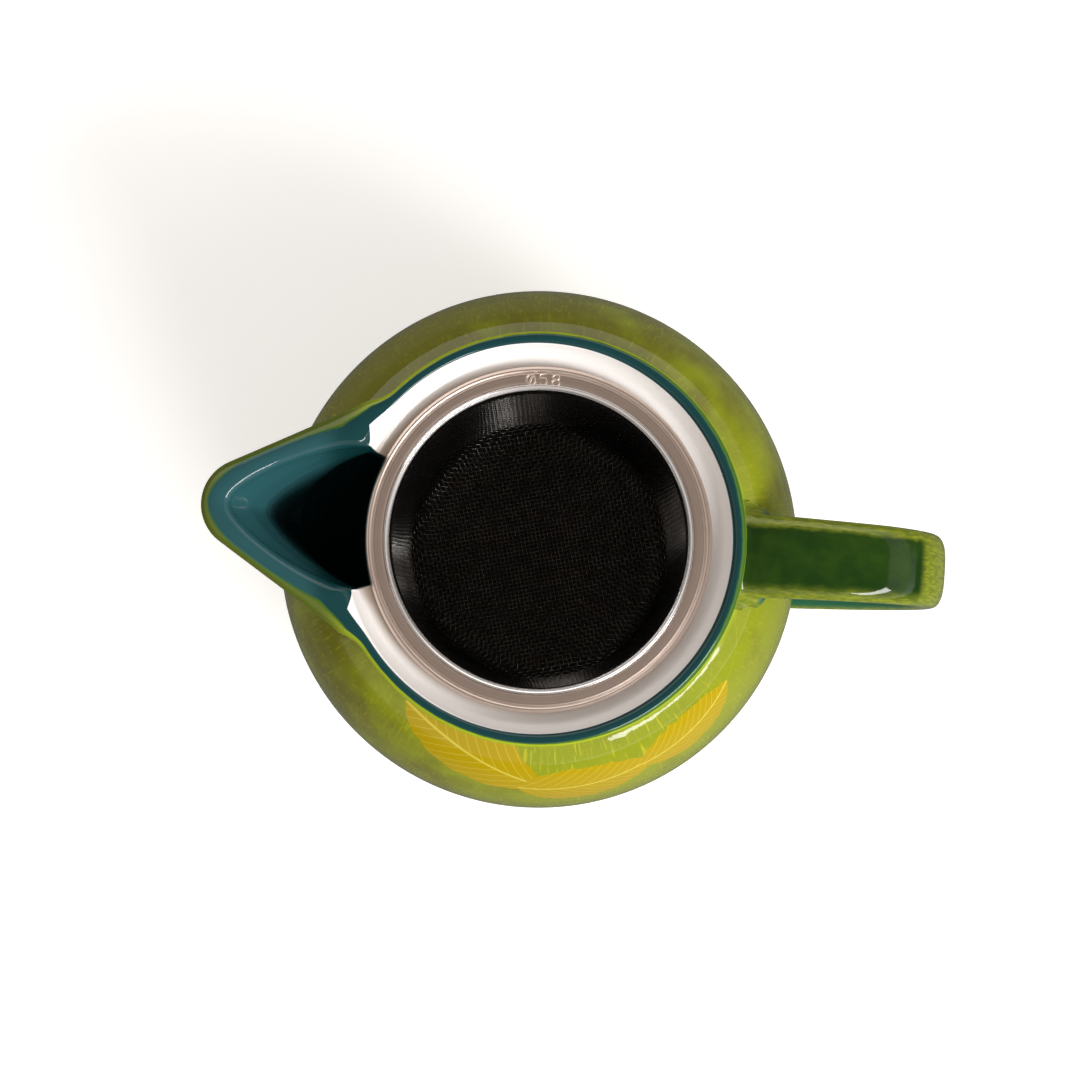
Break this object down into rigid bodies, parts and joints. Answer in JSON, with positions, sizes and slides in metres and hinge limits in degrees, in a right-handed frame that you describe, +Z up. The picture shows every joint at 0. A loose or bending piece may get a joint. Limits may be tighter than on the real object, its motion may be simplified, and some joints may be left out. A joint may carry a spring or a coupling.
{
  "type": "teapot with strainer",
  "caption": "Round glazed pouring pot without its lid, with an open beak spout, a strap handle and a lift-out wire-mesh strainer hanging in its mouth.",
  "frame": {"origin": "on the pot's axis, in the plane of the foot ring's resting face", "axes": "+Z up along the pot's axis, -X towards the spout's tip, +X towards the handle, +Y completes the right-handed set"},
  "size_m": [0.1477, 0.1088, 0.0889],
  "materials": {
    "body_glaze": "glossy translucent olive green glaze over fine yellow strokes",
    "spout_glaze": "glossy deep teal glaze",
    "handle_glaze": "glossy deep green glaze, thinner and yellower at the edges",
    "flange_steel": "satin pressed stainless steel",
    "bright_steel": "polished stainless steel",
    "wire_cloth": "plain-weave stainless wire cloth"
  },
  "bodies": {
    "pot": {"pot_body": "body_glaze", "spout": "spout_glaze", "handle": "handle_glaze"},
    "strainer": {"strainer_flange": "flange_steel", "clamp_ring": "bright_steel", "mesh_basket": "wire_cloth"}
  },
  "joints": [
    {"name": "strainer_lift", "type": "slide", "parent": "pot", "child": "strainer", "axis": [0, 0, 1], "range_m": [0, 0.065]}
  ]
}
